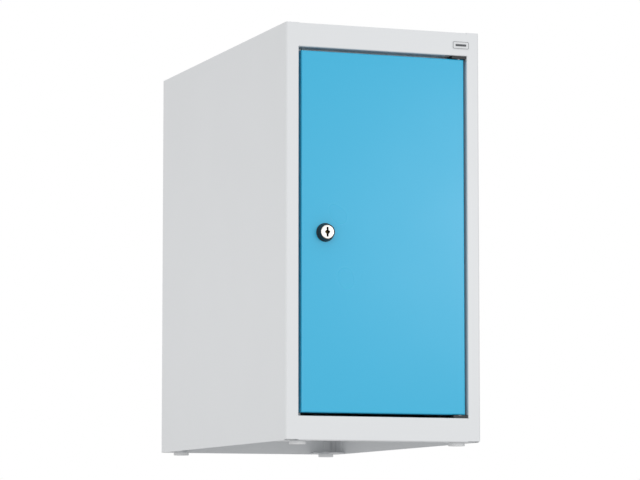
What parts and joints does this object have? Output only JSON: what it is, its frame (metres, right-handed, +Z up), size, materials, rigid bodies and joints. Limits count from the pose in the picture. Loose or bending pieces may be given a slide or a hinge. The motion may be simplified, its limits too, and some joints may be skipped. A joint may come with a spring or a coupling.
{
  "type": "steel bedside cabinet",
  "caption": "Tall narrow sheet-steel bedside cabinet on low round feet, with an inset right-hinged door, a cam lock and an inner shelf.",
  "frame": {"origin": "middle of the footprint's bounding box, at floor level under the feet", "axes": "+X to the right seen from the front, +Y from the door to the back, +Z up"},
  "size_m": [0.25, 0.507, 0.504],
  "materials": {
    "housing_paint": "light grey powder coat, fine orange peel, satin",
    "door_paint": "light blue powder coat, fine orange peel, satin",
    "zinc_plate": "bright zinc-plated steel",
    "lock_nickel": "satin nickel-plated die-cast zinc",
    "wafer_brass": "stamped brass",
    "black_plastic": "black moulded plastic, satin",
    "dark_nylon": "dark grey nylon, matt",
    "grey_plastic": "light grey polyethylene, matt",
    "badge_plate": "pale plate with a plain dark bar"
  },
  "bodies": {
    "housing": {"side_panel_left": "housing_paint", "side_panel_right": "housing_paint", "top_panel": "housing_paint", "floor_panel": "housing_paint", "back_panel": "housing_paint", "gusset_front_left": "housing_paint", "gusset_front_right": "housing_paint", "gusset_back_left": "housing_paint", "gusset_back_right": "housing_paint", "foot_front_left": "grey_plastic", "foot_front_right": "grey_plastic", "foot_back_left": "grey_plastic", "foot_back_right": "grey_plastic", "shelf": "housing_paint", "shelf_runner_left": "housing_paint", "shelf_runner_right": "housing_paint", "hinge_bush_top": "dark_nylon", "hinge_bush_bottom": "dark_nylon", "door_buffer_upper": "grey_plastic", "door_buffer_lower": "grey_plastic", "badge": "badge_plate"},
    "door": {"door_panel": "door_paint", "door_stiffener": "door_paint", "hinge_bracket_top": "zinc_plate", "hinge_bracket_bottom": "zinc_plate", "hinge_pin_top": "zinc_plate", "hinge_pin_bottom": "zinc_plate", "lock_collar": "black_plastic", "lock_body": "lock_nickel", "lock_nut": "zinc_plate"},
    "lock": {"lock_plug": "lock_nickel", "lock_wafers": "wafer_brass", "lock_cam": "zinc_plate", "lock_cam_screw": "zinc_plate"}
  },
  "joints": [
    {"name": "door_swing", "type": "hinge", "parent": "housing", "child": "door", "pos_m": [0.1, -0.2395, 0.254], "axis": [0, 0, 1], "range_deg": [0, 110]},
    {"name": "lock_turn", "type": "hinge", "parent": "door", "child": "lock", "pos_m": [-0.075, -0.2445, 0.252], "axis": [0, 1, 0], "range_deg": [0, 90]}
  ]
}
